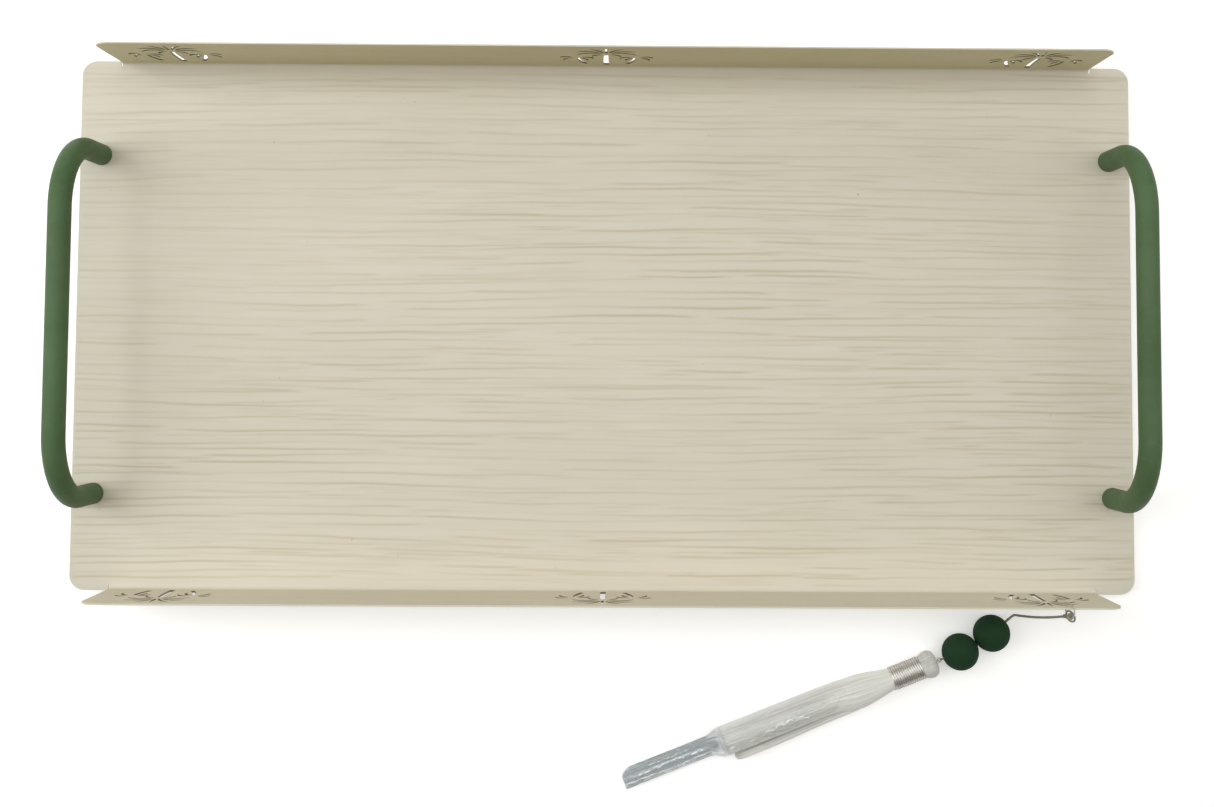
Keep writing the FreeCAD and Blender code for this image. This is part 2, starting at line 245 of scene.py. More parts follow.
def resample(path, step, rounds):
    """Even points along a path, with its corners smoothed in some rounds."""
    path = np.asarray(path, float)
    along = path_length(path)
    count = max(3, int(ceil(along[-1] / step)) + 1)
    places = np.linspace(0, along[-1], count)
    points = np.stack([np.interp(places, along, path[:, k]) for k in range(3)], 1)
    for _ in range(rounds):
        points[1:-1] = (points[:-2] + 2 * points[1:-1] + points[2:]) / 4
    return points


def twisted(path, ply_radius, offset, plies, pitch, sides=6, closed=False, seed=(0.3, 0.2, 1.0)):
    """Plies of yarn laid round a path."""
    normal, binormal = path_frames(path, closed, seed)
    ends = np.vstack([path, path[:1]]) if closed else path
    along = path_length(ends)
    turns = along[-1] / pitch
    if closed:
        turns = round(turns)
    parts = []
    for k in range(plies):
        angle = (TAU * (turns * along[:len(path)] / along[-1] + k / plies))[:, None]
        ply = path + offset * (np.cos(angle) * normal + np.sin(angle) * binormal)
        parts.append(tube(ply, ply_radius, sides, closed, seed))
    return merge(parts)


def ring_path(centre, radius, first, second, count):
    """Circle through two directions that span its plane."""
    angle = np.linspace(0, TAU, count, endpoint=False)[:, None]
    return centre + radius * (np.cos(angle) * first + np.sin(angle) * second)


def stadium_path(near, far, radius, side, count):
    """Closed path of two straight sides and two half circles."""
    along = unit(far - near)
    angle = np.linspace(0, pi, count)[:, None]
    far_end = far + radius * (np.cos(angle) * side + np.sin(angle) * along)
    near_end = near - radius * (np.cos(angle) * side + np.sin(angle) * along)
    straight = np.linspace(0, 1, count, endpoint=False)[1:, None]
    up_side = far_end[-1] + (near_end[0] - far_end[-1]) * straight
    down_side = near_end[-1] + (far_end[0] - near_end[-1]) * straight
    return np.vstack([far_end, up_side, near_end, down_side])


def lathe(profile, centre, axis, segments):
    """Closed profile of (along, out) pairs turned round an axis."""
    axis = unit(np.asarray(axis, float))
    first = unit(np.cross(axis, UP))
    second = np.cross(axis, first)
    angle = np.arange(segments) * TAU / segments
    rim = np.cos(angle)[:, None] * first + np.sin(angle)[:, None] * second
    verts = np.concatenate([centre + axis * a + rim * r for a, r in profile])
    return verts, grid_faces(len(profile), segments, wrap_rows=True, wrap_columns=True)


def coat(obj, material):
    obj.data.materials.clear()
    obj.data.materials.append(material)


def stand_for(obj, body, node, material):
    """A finished piece takes a CAD node's place."""
    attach(obj, body)
    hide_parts(node)
    coat(obj, material)


# ---- materials

class Shader:
    """The node tree of a material, or of the world, built up by short calls."""

    def __init__(self, name, owners=bpy.data.materials, output="OutputMaterial"):
        self.owner = owners.new(name)
        self.owner.use_nodes = True
        self.tree = self.owner.node_tree
        self.tree.nodes.clear()
        self.output = self.node(output)

    def node(self, kind, settings=None, **inputs):
        made = self.tree.nodes.new("ShaderNode" + kind)
        for key, value in (settings or {}).items():
            setattr(made, key, value)
        for key, value in inputs.items():
            self.put(made.inputs[key.replace("_", " ")], value)
        return made

    def put(self, socket, value):
        if isinstance(value, bpy.types.NodeSocket):
            self.tree.links.new(value, socket)
        else:
            socket.default_value = value

    def place(self):
        return self.node("TexCoord").outputs["Object"]

    def noise(self, scale, detail=3.0, roughness=0.5, stretch=(1, 1, 1)):
        mapping = self.node("Mapping", Vector=self.place(), Scale=stretch)
        return self.node("TexNoise", Vector=mapping.outputs[0], Scale=scale, Detail=detail,
                         Roughness=roughness).outputs["Fac"]

    def remap(self, value, low=0, high=1, to_low=0, to_high=1):
        made = self.node("MapRange", Value=value)
        made.inputs["From Min"].default_value = low
        made.inputs["From Max"].default_value = high
        made.inputs["To Min"].default_value = to_low
        made.inputs["To Max"].default_value = to_high
        return made.outputs[0]

    def mix(self, factor, first, second, blend="MIX"):
        made = self.node("Mix", {"data_type": "RGBA", "blend_type": blend})
        self.put(made.inputs[0], factor)
        self.put(made.inputs[6], first)
        self.put(made.inputs[7], second)
        return made.outputs[2]

    def math(self, operation, *values):
        made = self.node("Math", {"operation": operation})
        for socket, value in zip(made.inputs, values):
            self.put(socket, value)
        return made.outputs[0]

    def layer(self, factor, under, over):
        """One surface showing through another."""
        made = self.node("MixShader", Fac=factor)
        self.put(made.inputs[1], under)
        self.put(made.inputs[2], over)
        return made.outputs[0]

    def attribute(self, name):
        return self.node("Attribute", {"attribute_name": name}).outputs["Fac"]

    def bump(self, height, distance, strength=1.0, under=None):
        made = self.node("Bump", Height=height, Distance=distance * MM, Strength=strength)
        if under is not None:
            self.put(made.inputs["Normal"], under)
        return made.outputs[0]

    def principled(self, color, roughness, normal=None, **more):
        made = self.node("BsdfPrincipled")
        self.put(made.inputs["Base Color"], color)
        self.put(made.inputs["Roughness"], roughness)
        if normal is not None:
            self.put(made.inputs["Normal"], normal)
        for key, value in more.items():
            self.put(made.inputs[key.replace("_", " ")], value)
        return made.outputs[0]

    def finish(self, surface):
        self.put(self.output.inputs["Surface"], surface)
        return self.owner


def rgb(red, green, blue):
    """Linear colour from the 0 to 255 values a screen shows."""
    def linear(value):
        value /= 255
        return value / 12.92 if value <= 0.04045 else ((value + 0.055) / 1.055) ** 2.4
    return (linear(red), linear(green), linear(blue), 1.0)


def cream_coating():
    """Powder coat over wood grain: darker in grooves, partly grain colour and partly painted shade; painted
    shade on the slots' cut edges; painted warm shade inside the walls; with specks.
    """
    s = Shader("cream_coating")
    cloud = s.remap(s.noise(14, 4, 0.55, (0.5, 1.4, 1)), 0.35, 0.65)
    streak = s.remap(s.noise(60, 3, 0.6, (0.12, 5, 5)), 0.3, 0.7)
    tone = s.mix(cloud, rgb(216, 210, 194), rgb(221, 215, 200))
    tone = s.mix(s.remap(streak, to_high=0.35), tone, rgb(208, 199, 178))
    # grooves darker: partly the grain's own colour, partly painted shade in the recesses
    tone = s.mix(s.remap(s.attribute("groove"), to_high=0.75), tone, rgb(184, 172, 140))
    speck = s.remap(s.noise(420, 1, 0.4), 0.81, 0.83, 0, 0.4)
    tone = s.mix(speck, tone, rgb(120, 108, 88))
    # painted shade on the openwork's cut edges, where the view through the slots falls into shadow
    tone = s.mix(s.attribute("slot_edge"), tone, rgb(112, 100, 78))
    # painted warm shade on the walls' inner faces, standing in for shaded, bounce-lit metal
    tone = s.mix(s.attribute("inside_wall"), tone, (1.0, 0.98, 0.78, 1), "MULTIPLY")
    rough = s.remap(s.noise(90, 3, 0.6), 0.3, 0.7, 0.46, 0.6)
    fine = s.bump(s.noise(1300, 2, 0.5), 0.05, 0.35)
    ripple = s.bump(s.noise(60, 4, 0.6, (0.1, 6, 6)), 0.06, 0.3, fine)
    return s.finish(s.principled(tone, rough, ripple, Specular_IOR_Level=0.4))


def green_coating():
    """Matt powder coat on the handles, a little paler where hands rub it."""
    s = Shader("green_coating")
    cloud = s.remap(s.noise(45, 4, 0.6), 0.35, 0.65)
    tone = s.mix(cloud, rgb(77, 102, 67), rgb(86, 111, 76))
    worn = s.remap(s.noise(300, 2, 0.6), 0.62, 0.78, 0, 0.12)
    tone = s.mix(worn, tone, rgb(120, 146, 108))
    rough = s.remap(s.noise(160, 3, 0.6), 0.3, 0.7, 0.48, 0.6)
    peel = s.bump(s.noise(1100, 2, 0.5), 0.06, 0.5)
    return s.finish(s.principled(tone, rough, peel, Specular_IOR_Level=0.18))


def zinc_steel():
    s = Shader("zinc_steel")
    tone = s.mix(s.noise(500, 3, 0.6), rgb(186, 188, 190), rgb(150, 153, 158))
    brushed = s.bump(s.noise(900, 2, 0.5, (1, 1, 0.2)), 0.02, 0.3)
    rough = s.remap(s.noise(240, 2, 0.5), 0.3, 0.7, 0.28, 0.42)
    return s.finish(s.principled(tone, rough, brushed, Metallic=1.0))


def foot_rubber():
    s = Shader("foot_rubber")
    tone = s.mix(s.noise(260, 3, 0.6), rgb(206, 206, 202), rgb(188, 188, 184))
    skin = s.bump(s.noise(1500, 2, 0.5), 0.04, 0.4)
    return s.finish(s.principled(tone, 0.55, skin, Transmission_Weight=0.15))


def bead_plastic():
    """Rubbery matt coat with hardly any shine."""
    s = Shader("bead_plastic")
    tone = s.mix(s.noise(220, 3, 0.55), rgb(32, 58, 37), rgb(37, 65, 43))
    skin = s.bump(s.noise(1800, 2, 0.5), 0.03, 0.4)
    return s.finish(s.principled(tone, 0.75, skin, Specular_IOR_Level=0.1))


def yarn(name, dark, light, roughness, metallic, sheen):
    """Spun fibre: streaks of tone and fine hairs along it."""
    s = Shader(name)
    tone = s.mix(s.remap(s.noise(900, 3, 0.7), 0.3, 0.7), dark, light)
    hairs = s.bump(s.noise(2600, 2, 0.6), 0.05, 0.6)
    surface = s.principled(tone, roughness, hairs, Metallic=metallic, Sheen_Weight=sheen)
    return s.finish(surface)


def glitter_thread():
    """Silvery thread whose flecks flash."""
    s = Shader("silver_thread")
    fleck = s.remap(s.noise(3200, 1, 0.5), 0.52, 0.62)
    tone = s.mix(fleck, rgb(176, 174, 168), rgb(250, 250, 248))
    sparkle = s.bump(s.noise(2400, 1, 0.5), 0.15, 0.8)
    rough = s.remap(fleck, to_low=0.45, to_high=0.15)
    return s.finish(s.principled(tone, rough, sparkle, Metallic=0.7))


def wrap_thread():
    """Metallised thread bound round the neck, with painted brown shade where it turns away from the camera.
    """
    s = Shader("wrap_thread")
    tone = s.mix(s.noise(420, 2, 0.5), rgb(240, 239, 237), rgb(206, 201, 196))
    # painted brown shade towards the wrap's edges as seen from the camera
    aside = s.node("LayerWeight", Blend=0.5).outputs["Facing"]
    tone = s.mix(s.remap(aside, 0.35, 0.85, 0, 0.85), tone, rgb(112, 96, 82))
    ply = s.bump(s.noise(2400, 2, 0.5), 0.03, 0.4)
    rough = s.remap(s.noise(500, 2, 0.5), 0.3, 0.7, 0.3, 0.42)
    return s.finish(s.principled(tone, rough, ply, Metallic=0.9))


def tassel_silk():
    """Off-white floss: slightly different from strand to strand."""
    s = Shader("tassel_silk")
    tone = s.mix(s.attribute("strand"), rgb(188, 188, 182), rgb(248, 248, 244))
    tone = s.mix(s.remap(s.noise(500, 3, 0.7), 0.35, 0.7, 0, 0.5), tone, rgb(230, 229, 223))
    hairs = s.bump(s.noise(3000, 2, 0.6), 0.05, 0.7)
    return s.finish(s.principled(tone, 0.5, hairs, Sheen_Weight=0.3))


def clear_film():
    """Crumpled clear film: nearly unseen over the skirt, grey where it lies empty, white along its folds,
    partly whitened film and partly painted glints that glow.
    """
    s = Shader("clear_film")
    veil = s.attribute("veil")
    crinkle = s.bump(s.noise(700, 4, 0.65, (0.6, 1, 1)), 0.25, 0.9)
    clear = s.node("BsdfTransparent", Color=s.mix(veil, WHITE, rgb(235, 237, 238))).outputs[0]
    gloss = s.node("BsdfGlossy", Color=WHITE, Roughness=0.12, Normal=crinkle).outputs[0]
    facing = s.node("Fresnel", IOR=1.4, Normal=crinkle).outputs[0]
    shine = s.math("MINIMUM", facing, s.remap(veil, to_low=0.07, to_high=0.3))
    film = s.layer(shine, clear, gloss)
    # painted glints: a white, faintly glowing coat along the folds, partly standing for whitened film
    fold = s.principled((0.96, 0.97, 0.98, 1), 0.3, crinkle, Emission_Color=WHITE, Emission_Strength=0.15)
    return s.finish(s.layer(s.remap(s.attribute("crease"), to_high=0.8), film, fold))


def floor_paint():
    """Plain white, glowing a little more far away, where only the camera sees it."""
    s = Shader("floor_paint")
    tone = s.mix(s.noise(3, 3, 0.5), (0.9, 0.9, 0.9, 1), (0.92, 0.92, 0.92, 1))
    distance = s.node("VectorMath", {"operation": "LENGTH"})
    s.put(distance.inputs[0], s.place())
    far = s.remap(distance.outputs["Value"], 0.5, 1.6, 0, 0.6)
    seen = s.node("LightPath").outputs["Is Camera Ray"]
    glow = s.math("MULTIPLY_ADD", far, seen, 0.34)
    return s.finish(s.principled(tone, 0.8, Specular_IOR_Level=0.1, Emission_Color=WHITE,
                                 Emission_Strength=glow))


# ---- wood grain

# Long grooves: the gap between rows, then each run's length, depth and width
GROOVE_GAP = (2.5, 4.7)
GROOVE_LENGTH = (45, 210)
GROOVE_DEPTH = (0.6, 1.0)
GROOVE_WIDTH = (0.4, 0.58)
# Side branches of some grooves
FORK_CHANCE = 0.3
FORK_SLOPE = (0.012, 0.03)
FORK_LENGTH = (25, 70)
FORK_WIDTH = 0.42
# Fine strokes between the grooves
STROKES = 1000
STROKE_GAP = (0.9, 2.2)
STROKE_LENGTH = (7, 42)
STROKE_DEPTH = (0.3, 0.75)
STROKE_WIDTH = (0.32, 0.44)
# How far a run may wander from its line, and the length over which its ends fade
WANDER_ROOM = 1.4
END_FADE = 9


def flow(x, y):
    """How far the whole grain wanders from straight, shared by neighbouring grooves."""
    slow = 0.9 * np.sin(x / 88 + y / 41) + 0.5 * np.sin(x / 43 - y / 29 + 1.7)
    return slow + 0.16 * np.sin(x / 17 + y / 13 + 0.6)


def patch_strength(x, y):
    """Grain is bolder towards the tassel's side and the right end."""
    wide = 0.82 - 0.12 * y / HALF_WIDTH + 0.12 * x / HALF_LENGTH
    drift = 0.22 * np.sin(x / 71 + 1.1) * np.sin(y / 33 + 0.4)
    return np.clip(wide + drift, 0.2, 1.1)


def groove_rows():
    """Runs of groove (left, right, level, slope, depth, width) in rows, some stepping aside or forking."""
    runs = []
    y = -HALF_WIDTH
    while y < HALF_WIDTH:
        y += rng.uniform(*GROOVE_GAP)
        x = -HALF_LENGTH - rng.uniform(0, 60)
        while x < HALF_LENGTH:
            length = rng.uniform(*GROOVE_LENGTH)
            side = rng.normal(0, 0.55)
            drift = rng.normal(0, 0.006)
            depth = rng.uniform(*GROOVE_DEPTH)
            runs.append((x, x + length, y + side, drift, depth, rng.uniform(*GROOVE_WIDTH)))
            if rng.random() < FORK_CHANCE:
                start = x + length * rng.uniform(0.2, 0.7)
                fork = rng.choice((-1, 1)) * rng.uniform(*FORK_SLOPE)
                reach = start + rng.uniform(*FORK_LENGTH)
                runs.append((start, reach, y + side, fork, 0.7 * depth, FORK_WIDTH))
            x += length + rng.uniform(-14, 16)
    return runs


def fine_strokes():
    """Short fine runs, gathered in patches."""
    runs = []
    while len(runs) < STROKES:
        x = rng.uniform(-HALF_LENGTH, HALF_LENGTH)
        y = rng.uniform(-HALF_WIDTH, HALF_WIDTH)
        for _ in range(rng.integers(2, 7)):
            left = x + rng.uniform(-25, 25)
            width = rng.uniform(*STROKE_WIDTH)
            right = left + rng.uniform(*STROKE_LENGTH)
            runs.append((left, right, y, 0.0, rng.uniform(*STROKE_DEPTH), width))
            y += rng.uniform(*STROKE_GAP)
    return runs


GRAIN_RUNS = groove_rows() + fine_strokes()
GRAIN_PHASE = rng.uniform(0, TAU, len(GRAIN_RUNS))


def grain(x, y):
    """Groove depth from 0 to about 1 at points of the base."""
    depth = np.zeros(len(x))
    straight = y - flow(x, y)
    order = np.argsort(straight)
    ranked = straight[order]
    for (left, right, level, drift, strength, width), phase in zip(GRAIN_RUNS, GRAIN_PHASE):
        reach = 3 * width + WANDER_ROOM + abs(drift) * (right - left)
        near = order[np.searchsorted(ranked, level - reach):np.searchsorted(ranked, level + reach)]
        near = near[(x[near] > left) & (x[near] < right)]
        along = x[near] - left
        wander = level + drift * along + 0.3 * np.sin(along / 19 + phase) + 0.14 * np.sin(along / 6.5)
        ends = np.clip(np.minimum(along, right - left - along) / END_FADE, 0, 1)
        fade = 0.65 + 0.35 * np.sin(along / 27 + 2 * phase)
        profile = np.exp(-((straight[near] - wander) / width) ** 2)
        depth[near] = np.maximum(depth[near], strength * ends * fade * profile)
    at_folds = np.clip((FLAT_Y - np.abs(y)) / 2.5, 0, 1)
    at_ends = np.clip((HALF_LENGTH - np.abs(x)) / 1.5, 0, 1)
    return depth * patch_strength(x, y) * at_folds * at_ends


# ---- tray sheet

GRAIN_DEPTH = 0.15
# Spacing of the mesh across and along the grain, and how many rows the plain underside skips
ROW_STEP = 0.4
STATION_STEP = 4.4
UNDERSIDE_EVERY = 24
# how much of the painted warm shade the near wall gets
NEAR_WALL_PAINTED_WARMTH = 0.2
SLOTS_ABOVE = 2.5


def stations():
    """Places along the tray: close together at edges and round its corners."""
    tab = HALF_WALL + RELIEF_WIDTH
    straight = HALF_WALL - WALL_CORNER_R
    inner = list(np.linspace(0, straight, int(straight / STATION_STEP)))
    quarter = np.radians(np.linspace(0, 90, 9))
    corner = list(straight + WALL_CORNER_R * np.sin(quarter))
    flat = [tab + past for past in (0, EDGE_ROUND, 2.5, 5.5, 8.5)]
    rounded = list(HALF_LENGTH - CORNER_R + CORNER_R * np.sin(quarter))
    half = inner[1:] + corner[1:-1] + [HALF_WALL - EDGE_ROUND, HALF_WALL] + flat + rounded[:-1]
    half += [HALF_LENGTH - EDGE_ROUND, HALF_LENGTH]
    half = sorted(set(np.round(half, 4)))
    return np.array([-v for v in half[::-1]] + [0.0] + half)


def sheet_rows():
    """Places across the unfolded sheet, from the base's middle to a wall's top."""
    notch = HALF_WIDTH - RELIEF_DEPTH
    base = list(np.linspace(0, notch - EDGE_ROUND, int(notch / ROW_STEP)))
    fold = list(FLAT_Y + FOLD_LENGTH * np.linspace(0, 1, 7))
    wall_length = WALL_TOP - BEND_R
    wall_start = FLAT_Y + FOLD_LENGTH
    wall = list(wall_start + np.linspace(0, wall_length - EDGE_ROUND, 8)[1:]) + [wall_start + wall_length]
    half = np.array(base[1:] + [notch] + fold + wall)
    flat_ends = np.array([HALF_WIDTH - EDGE_ROUND, HALF_WIDTH])
    rows = np.concatenate([-half[::-1], [0.0], half, flat_ends, -flat_ends])
    return np.array(sorted(set(np.round(rows, 4))))


def tab_limit(x):
    """Half width of the flat end at a place along the tray."""
    past = np.clip(np.abs(x) - (HALF_LENGTH - CORNER_R), 0, CORNER_R)
    return HALF_WIDTH - CORNER_R + np.sqrt(np.maximum(CORNER_R ** 2 - past ** 2, 0))


def wall_limit(x):
    """Height of the wall's top edge at a place along the tray."""
    past = np.clip(np.abs(x) - (HALF_WALL - WALL_CORNER_R), 0, WALL_CORNER_R)
    return WALL_TOP - WALL_CORNER_R + np.sqrt(np.maximum(WALL_CORNER_R ** 2 - past ** 2, 0))


def fold_sheet(x, s):
    """Inner surface point and outward direction for a place on the unfolded sheet."""
    side = np.sign(s)
    over = np.clip(np.abs(s) - FLAT_Y, 0, FOLD_LENGTH)
    up = np.clip(np.abs(s) - FLAT_Y - FOLD_LENGTH, 0, None)
    turn = over / BEND_R
    share = up / (WALL_TOP - BEND_R)
    height = BEND_R - BEND_R * np.cos(turn) + share * (wall_limit(x) - BEND_R)
    y = side * (np.minimum(np.abs(s), FLAT_Y) + BEND_R * np.sin(turn))
    inner = np.stack([x, y, height], -1)
    outward = np.stack([np.zeros_like(x), side * np.sin(turn), -np.cos(turn)], -1)
    return inner, outward


def flat_sheet(x, s):
    """The same for the flat ends, which reach past the folds."""
    limit = tab_limit(x)
    y = np.clip(s * limit / HALF_WIDTH, -limit, limit)
    inner = np.stack([x, y, np.zeros_like(x)], -1)
    outward = np.zeros_like(inner)
    outward[..., 2] = -1.0
    return inner, outward


def sheet_cells(xs, rows):
    """Which cells of the unfolded grid are metal."""
    x = (xs[1:] + xs[:-1])[:, None] / 2
    s = np.abs((rows[1:] + rows[:-1])[None, :] / 2)
    walled = np.abs(x) < HALF_WALL
    tab = np.abs(x) > HALF_WALL + RELIEF_WIDTH
    notch = HALF_WIDTH - RELIEF_DEPTH
    return walled | (tab & (s < HALF_WIDTH)) | (s < notch)


def boundary_points(cells):
    """Grid points that touch both metal and air."""
    padded = np.pad(cells, 1)
    around = np.stack([padded[:-1, :-1], padded[1:, :-1], padded[:-1, 1:], padded[1:, 1:]])
    return around.any(0) & ~around.all(0)


def coarse_rows(rows):
    """Rows that the underside keeps: a few across the base, all of them in the folds."""
    keep = np.abs(rows) >= HALF_WIDTH - RELIEF_DEPTH - EDGE_ROUND - TINY
    keep[::UNDERSIDE_EVERY] = True
    return keep


def sheet_mesh():
    """Closed sheet with grain pressed into the base's upper face."""
    xs = stations()
    rows = sheet_rows()
    x, s = np.meshgrid(xs, rows, indexing="ij")
    walled, out_walled = fold_sheet(x, s)
    flat, out_flat = flat_sheet(x, s)
    on_tab = (np.abs(x) > HALF_WALL + TINY)[..., None]
    inner = np.where(on_tab, flat, walled)
    outward = np.where(on_tab, out_flat, out_walled)
    cells = sheet_cells(xs, rows)
    depth = GRAIN_DEPTH * grain(inner[..., 0].ravel(), inner[..., 1].ravel()).reshape(x.shape)
    depth[np.abs(s) >= FLAT_Y] = 0
    rounding = boundary_points(cells) * EDGE_ROUND
    upper = inner + outward * (depth + rounding)[..., None]
    lower = inner + outward * (SHEET - rounding)[..., None]
    count = x.size
    index = np.arange(count).reshape(x.shape)
    faces = surface_faces(index, cells)
    faces += underside_faces(index + count, cells, coarse_rows(rows))
    faces += rim_faces(index, cells, coarse_rows(rows), count)
    verts = np.concatenate([upper.reshape(-1, 3), lower.reshape(-1, 3)])
    return drop_loose(verts, faces)


def surface_faces(index, cells):
    i, j = np.nonzero(cells)
    quads = np.stack([index[i, j], index[i + 1, j], index[i + 1, j + 1], index[i, j + 1]], 1)
    return quads.tolist()


def underside_faces(index, cells, keep):
    """Quads between kept rows, wound to face outwards."""
    faces = []
    kept = np.nonzero(keep)[0]
    for a, b in zip(kept, kept[1:]):
        for i in np.nonzero(cells[:, a])[0]:
            faces.append([index[i, a], index[i, b], index[i + 1, b], index[i + 1, a]])
    return faces


def rim_faces(index, cells, keep, count):
    """Sides of the sheet wherever metal ends."""
    faces = []
    padded = np.pad(cells, 1)
    kept = np.nonzero(keep)[0]
    across = padded[1:, 1:-1] != padded[:-1, 1:-1]
    for a, b in zip(kept, kept[1:]):
        for i in np.nonzero(across[:, a])[0]:
            top = index[i, a:b + 1].tolist()
            face = top + [top[-1] + count, top[0] + count]
            faces.append(face if padded[i + 1, a + 1] else face[::-1])
    along = padded[1:-1, 1:] != padded[1:-1, :-1]
    for i, j in zip(*np.nonzero(along)):
        a, b = index[i, j], index[i + 1, j]
        face = [a, a + count, b + count, b]
        faces.append(face if padded[i + 1, j + 1] else face[::-1])
    return faces


def drop_loose(verts, faces):
    """Removes vertices that no face uses."""
    used = np.zeros(len(verts), bool)
    for face in faces:
        used[face] = True
    new = np.cumsum(used) - 1
    return verts[used], [[int(new[i]) for i in face] for face in faces]


# ---- openwork

def polar(centre, degrees, distance):
    angle = radians(degrees)
    return np.array([centre[0] + distance * cos(angle), centre[1] + distance * sin(angle)])


def bow(start, end, rise, count=9):
    """Points of a circular arc from start to end that rises to the chord's left."""
    middle = (start + end) / 2
    chord = end - start
    left = unit(np.array([-chord[1], chord[0]]))
    half = np.linalg.norm(chord) / 2
    radius = (half ** 2 + rise ** 2) / (2 * rise)
    centre = middle - left * (radius - rise)
    spread = np.arctan2(half, radius - rise)
    angle = np.linspace(-spread, spread, count)[:, None]
    return centre + radius * (np.sin(angle) * chord / (2 * half) + np.cos(angle) * left)


def frond_outline(crown, degrees, reach, rise):
    """Crescent that springs from beside the crown and arches upwards."""
    start, end = polar(crown, degrees, CROWN_GAP), polar(crown, degrees, reach)
    if start[0] > end[0]:
        start, end = end, start
    upper = bow(start, end, rise + FROND_WIDTH / 2)
    lower = bow(start, end, rise - FROND_WIDTH / 2)
    return np.vstack([upper, lower[-2:0:-1]])


def trunk_outline(foot, top, foot_width, top_width, bend):
    """Tapered trunk whose sides bow to its left."""
    foot, top = np.array(foot, float), np.array(top, float)
    along = unit(top - foot)
    left = np.array([-along[1], along[0]])
    share = np.linspace(0, 1, 9)[:, None]
    line = foot + share * (top - foot)
    swell = 4 * share * (1 - share)
    half = (foot_width * (1 - share) + top_width * share) / 2
    near = line + left * (half + swell * bend)
    far = line + left * (swell * bend - half)
    return np.vstack([near, far[::-1]])


def motif_outlines():
    """Two lists of outlines; none overlaps another of its own list."""
    centre = [frond_outline(CROWN, *frond) for frond in CENTRE_FRONDS]
    side = [frond_outline(SIDE_CROWN, *frond) for frond in SIDE_FRONDS]
    centre.append(trunk_outline(*SIDE_TRUNK))
    flip = np.array([-1.0, 1.0])
    centre += [(outline * flip)[::-1] for outline in centre]
    side += [(outline * flip)[::-1] for outline in side]
    centre += [trunk_outline(*LOWER_TRUNK), trunk_outline(*UPPER_TRUNK)]
    return centre, side


def area(outline):
    x, z = outline[:, 0], outline[:, 1]
    return (x * np.roll(z, -1) - z * np.roll(x, -1)).sum() / 2


def prism(outline, x_shift):
    """Outline in the wall's plane run through both walls."""
    if area(outline) < 0:
        outline = outline[::-1]
    count = len(outline)
    ends = []
    for y in (-HALF_WIDTH - OVERCUT, HALF_WIDTH + OVERCUT):
        ends.append(np.stack([outline[:, 0] + x_shift, np.full(count, y), outline[:, 1]], 1))
    faces = [list(range(count)), list(range(2 * count - 1, count - 1, -1))]
    faces += [[(i + 1) % count, i, count + i, count + (i + 1) % count] for i in range(count)]
    return np.vstack(ends), faces


def drum(radius, low, high, spot, sides=40):
    """Upright round cutter."""
    path = [(spot[0], spot[1], low), (spot[0], spot[1], high)]
    return tube(path, radius, sides, seed=(1, 0, 0))


def cut(obj, parts):
    """Takes cutters that don't overlap each other out of a mesh."""
    cutter = make_object("cutter", *merge(parts))
    modifier = obj.modifiers.new("cut", "BOOLEAN")
    modifier.operation = "DIFFERENCE"
    modifier.solver = "MANIFOLD"
    modifier.object = cutter
    depsgraph = bpy.context.evaluated_depsgraph_get()
    mesh = bpy.data.meshes.new_from_object(obj.evaluated_get(depsgraph))
    obj.modifiers.clear()
    obj.data = mesh
    bpy.data.objects.remove(cutter)


def write_attribute(obj, name, values, domain="POINT"):
    layer = obj.data.attributes.new(name, "FLOAT", domain)
    layer.data.foreach_set("value", np.asarray(values, np.float32))


def rows_of(items, key):
    """A three-part property of every vertex or face."""
    values = np.empty(len(items) * 3, np.float32)
    items.foreach_get(key, values)
    return values.reshape(-1, 3).astype(float)


def painted_slot_faces(middle, normal):
    """Marks the faces inside the walls' openwork, which the coat paints dark as shade."""
    x, y, z = np.abs(middle).T
    level = np.abs(normal[:, 1]) < 0.4
    corner = (x > HALF_WALL - WALL_CORNER_R) & (z > WALL_TOP - WALL_CORNER_R)
    within = (y > FLAT_Y) & (z > SLOTS_ABOVE) & (z < WALL_TOP - 0.5) & (x < HALF_WALL - 1)
    return level & within & ~corner


def painted_wall_warmth_faces(middle, normal):
    """How much painted warm shade the walls' inner faces get: the far one most, which stands in shade."""
    inner = (np.abs(middle[:, 1]) > FLAT_Y) & (normal[:, 1] * np.sign(middle[:, 1]) < -0.8)
    return inner * np.where(middle[:, 1] > 0, 1.0, NEAR_WALL_PAINTED_WARMTH)


def build_sheet(material):
    obj = make_object("tray_sheet_coated", *sheet_mesh())
    for outlines in motif_outlines():
        prisms = [prism(o, x) for o in outlines for x in (-MOTIF_SPACING, 0.0, MOTIF_SPACING)]
        cut(obj, prisms)
    spots = [(x, y) for x in (-HANDLE_X, HANDLE_X) for y in (-HANDLE_Y, HANDLE_Y)]
    cut(obj, [drum(SEAT_R, -SEAT_DEPTH, 2, spot) for spot in spots])
    cut(obj, [drum(SCREW_HOLE_R, -2, 2, spot) for spot in spots])
    shade(obj, 28)
    points = rows_of(obj.data.vertices, "co") / MM
    upper = (points[:, 2] > -SHEET / 2) & (np.abs(points[:, 1]) < FLAT_Y)
    write_attribute(obj, "groove", np.where(upper, grain(points[:, 0], points[:, 1]), 0))
    middle = rows_of(obj.data.polygons, "center") / MM
    normal = rows_of(obj.data.polygons, "normal")
    write_attribute(obj, "slot_edge", painted_slot_faces(middle, normal), "FACE")
    write_attribute(obj, "inside_wall", painted_wall_warmth_faces(middle, normal), "FACE")
    stand_for(obj, "tray", "tray_sheet", material)


# ---- string and beads

